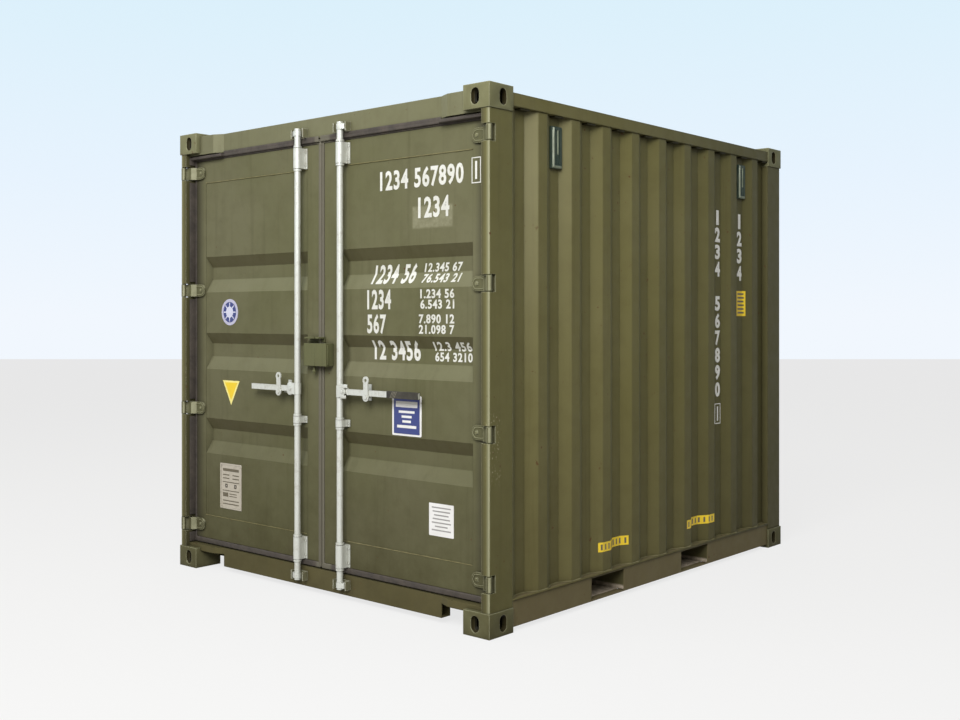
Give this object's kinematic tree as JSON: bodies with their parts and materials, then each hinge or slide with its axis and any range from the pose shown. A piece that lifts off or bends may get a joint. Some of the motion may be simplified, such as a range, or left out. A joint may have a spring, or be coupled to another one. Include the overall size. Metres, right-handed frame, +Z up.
{
  "type": "shipping container",
  "caption": "Short steel freight container with corrugated walls, double doors with locking bars and lever handles, fork pockets and slotted corner castings",
  "frame": {"origin": "centre of the footprint, on the ground under the lower castings", "axes": "+X across to the right seen from the doors, +Y along the container away from the doors, +Z up"},
  "size_m": [2.438, 2.991, 2.591],
  "materials": {
    "olive_paint": "satin",
    "door_paint": "satin",
    "zinc": "satin",
    "rubber": "matte",
    "vent_plastic": "matte",
    "floor_wood": "matte",
    "grip_rubber": "matte"
  },
  "bodies": {
    "container": {"door_bottom_right_corner": "olive_paint", "door_bottom_left_corner": "olive_paint", "door_top_right_corner": "olive_paint", "door_top_left_corner": "olive_paint", "blind_bottom_right_corner": "olive_paint", "blind_bottom_left_corner": "olive_paint", "blind_top_right_corner": "olive_paint", "blind_top_left_corner": "olive_paint", "right_door_post": "olive_paint", "left_door_post": "olive_paint", "right_blind_post": "olive_paint", "left_blind_post": "olive_paint", "door_header": "olive_paint", "door_sill": "olive_paint", "blind_top_rail": "olive_paint", "blind_bottom_rail": "olive_paint", "right_side_top_rail": "olive_paint", "left_side_top_rail": "olive_paint", "right_side_bottom_rail": "olive_paint", "left_side_bottom_rail": "olive_paint", "right_side_wall": "olive_paint", "left_side_wall": "olive_paint", "blind_wall": "olive_paint", "roof_panel": "olive_paint", "floor_board": "floor_wood", "cross_members": "olive_paint", "fork_pockets": "olive_paint", "side_vents": "vent_plastic", "cam_keepers": "zinc"},
    "right_door": {"right_door_panel": "door_paint", "right_door_frame": "door_paint", "right_hinge_blades": "door_paint", "right_door_seal": "rubber", "right_bar_brackets": "zinc", "right_handle_catch": "zinc", "right_lock_box": "door_paint"},
    "left_door": {"left_door_panel": "door_paint", "left_door_frame": "door_paint", "left_hinge_blades": "door_paint", "left_door_seal": "rubber", "left_bar_brackets": "zinc", "left_handle_catch": "zinc", "left_lock_box": "door_paint"},
    "right_bar": {"right_locking_bar": "zinc"},
    "left_bar": {"left_locking_bar": "zinc"},
    "right_lever": {"right_handle": "zinc", "right_handle_grip": "grip_rubber"},
    "left_lever": {"left_handle": "zinc"}
  },
  "joints": [
    {"name": "right_door_hinge", "type": "hinge", "parent": "container", "child": "right_door", "pos_m": [1.203, -1.478, 1.3], "axis": [0, 0, 1], "range_deg": [0, 266]},
    {"name": "left_door_hinge", "type": "hinge", "parent": "container", "child": "left_door", "pos_m": [-1.203, -1.478, 1.3], "axis": [0, 0, -1], "range_deg": [0, 266]},
    {"name": "right_bar_turn", "type": "hinge", "parent": "right_door", "child": "right_bar", "pos_m": [0.17, -1.4655, 1.3], "axis": [0, 0, 1], "range_deg": [-100, 0]},
    {"name": "left_bar_turn", "type": "hinge", "parent": "left_door", "child": "left_bar", "pos_m": [-0.17, -1.4655, 1.3], "axis": [0, 0, -1], "range_deg": [-100, 0]},
    {"name": "right_handle_lift", "type": "hinge", "parent": "right_bar", "child": "right_lever", "pos_m": [0.208, -1.4735, 1.106], "axis": [0, -1, 0], "range_deg": [0, 30]},
    {"name": "left_handle_lift", "type": "hinge", "parent": "left_bar", "child": "left_lever", "pos_m": [-0.208, -1.4735, 1.106], "axis": [0, 1, 0], "range_deg": [0, 30]}
  ]
}
